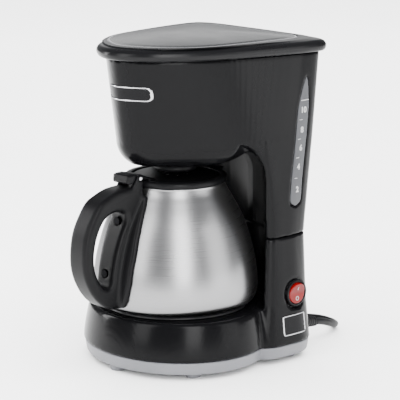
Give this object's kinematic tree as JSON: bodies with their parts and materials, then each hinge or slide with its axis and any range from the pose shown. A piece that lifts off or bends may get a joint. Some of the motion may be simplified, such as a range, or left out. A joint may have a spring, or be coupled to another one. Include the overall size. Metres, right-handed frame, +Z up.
{
  "type": "drip coffee maker",
  "caption": "Drip coffee maker with a hinged top lid, lift-out filter basket, water tank with level window, hot plate, and a steel jug that slides out.",
  "frame": {"origin": "bottom centre of the machine, on the table under the feet, measured without the cord", "axes": "+Z up, -Y to the front where the jug and its handle are, +X to the side with the switch and level window"},
  "size_m": [0.193, 0.3074, 0.271],
  "materials": {
    "gloss_black": "glossy to satin black moulded plastic",
    "satin_black": "satin black moulded plastic",
    "inner_black": "matt black moulded plastic",
    "light_grey": "satin light grey moulded plastic",
    "steel": "brushed stainless steel",
    "aluminium": "plain aluminium",
    "plate_coating": "dark non-stick coating on steel",
    "red_lens": "translucent red plastic",
    "window_grey": "translucent smoke grey plastic",
    "silver": "silver foil",
    "silicone": "translucent silicone hose",
    "cord_black": "matt black flexible PVC",
    "brass": "plain brass",
    "ceramic": "cream moulded insulator"
  },
  "bodies": {
    "housing": {"base_plate": "light_grey", "foot_front": "light_grey", "foot_right": "light_grey", "foot_left": "light_grey", "foot_rear_right": "light_grey", "foot_rear_left": "light_grey", "base_screw_right": "steel", "base_screw_left": "steel", "base_screw_front_right": "steel", "base_screw_front_left": "steel", "element_clamp": "steel", "lid_hinge_pin": "steel", "hose_clamp_inlet": "steel", "hose_clamp_riser": "steel", "base_housing": "gloss_black", "tank_housing": "gloss_black", "hot_plate": "plate_coating", "heating_element": "aluminium", "thermostat": "ceramic", "thermal_fuse_left": "silver", "thermal_fuse_right": "silver", "front_badge": "silver", "side_badge": "silver", "water_window": "window_grey", "outlet_shroud": "satin_black", "switch_bezel": "satin_black", "check_valve": "inner_black", "switch_body": "inner_black", "inlet_hose": "silicone", "riser_tube": "silicone", "wire_switch": "cord_black", "wire_thermostat": "cord_black", "wire_neutral": "cord_black", "strain_relief": "cord_black", "mains_cord": "cord_black", "cord_coil": "cord_black", "plug_lead": "cord_black", "plug_body": "cord_black", "plug_pin_left": "brass", "plug_pin_right": "brass"},
    "lid": {"lid": "satin_black", "shower_plate": "inner_black"},
    "basket": {"filter_basket": "inner_black", "valve_spring": "steel"},
    "basket_bail": {"basket_handle": "steel"},
    "drip_valve": {"drip_valve": "satin_black"},
    "jug": {"jug_body": "steel", "jug_collar": "satin_black", "jug_handle": "satin_black", "handle_screw_upper": "steel", "handle_screw_lower": "steel", "jug_lid_pin": "steel"},
    "jug_lid": {"jug_lid": "satin_black"},
    "rocker": {"switch_rocker": "red_lens"}
  },
  "joints": [
    {"name": "lid_hinge", "type": "hinge", "parent": "housing", "child": "lid", "pos_m": [0, 0.1035, 0.262], "axis": [-1, 0, 0], "range_deg": [0, 95]},
    {"name": "jug_slide", "type": "slide", "parent": "housing", "child": "jug", "axis": [0, -1, 0], "range_m": [0, 0.18]},
    {"name": "basket_lift", "type": "slide", "parent": "housing", "child": "basket", "axis": [0, 0, 1], "range_m": [0, 0.0065]},
    {"name": "bail_hinge", "type": "hinge", "parent": "basket", "child": "basket_bail", "pos_m": [0, 0.0033, 0.2386], "axis": [-1, 0, 0], "range_deg": [0, 40]},
    {"name": "valve_drop", "type": "slide", "parent": "basket", "child": "drip_valve", "axis": [0, 0, -1], "range_m": [0, 0.0035], "deforming": ["valve_spring"]},
    {"name": "jug_lid_hinge", "type": "hinge", "parent": "jug", "child": "jug_lid", "pos_m": [0, -0.0472, 0.16], "axis": [1, 0, 0], "range_deg": [0, 2]},
    {"name": "switch_rock", "type": "hinge", "parent": "housing", "child": "rocker", "pos_m": [0.0795, 0.0633, 0.0575], "axis": [0, -1, 0], "range_deg": [0, 14]}
  ],
  "couplings": [
    {"joint": "valve_drop", "follows": "jug_slide", "ratio": 0.019}
  ]
}
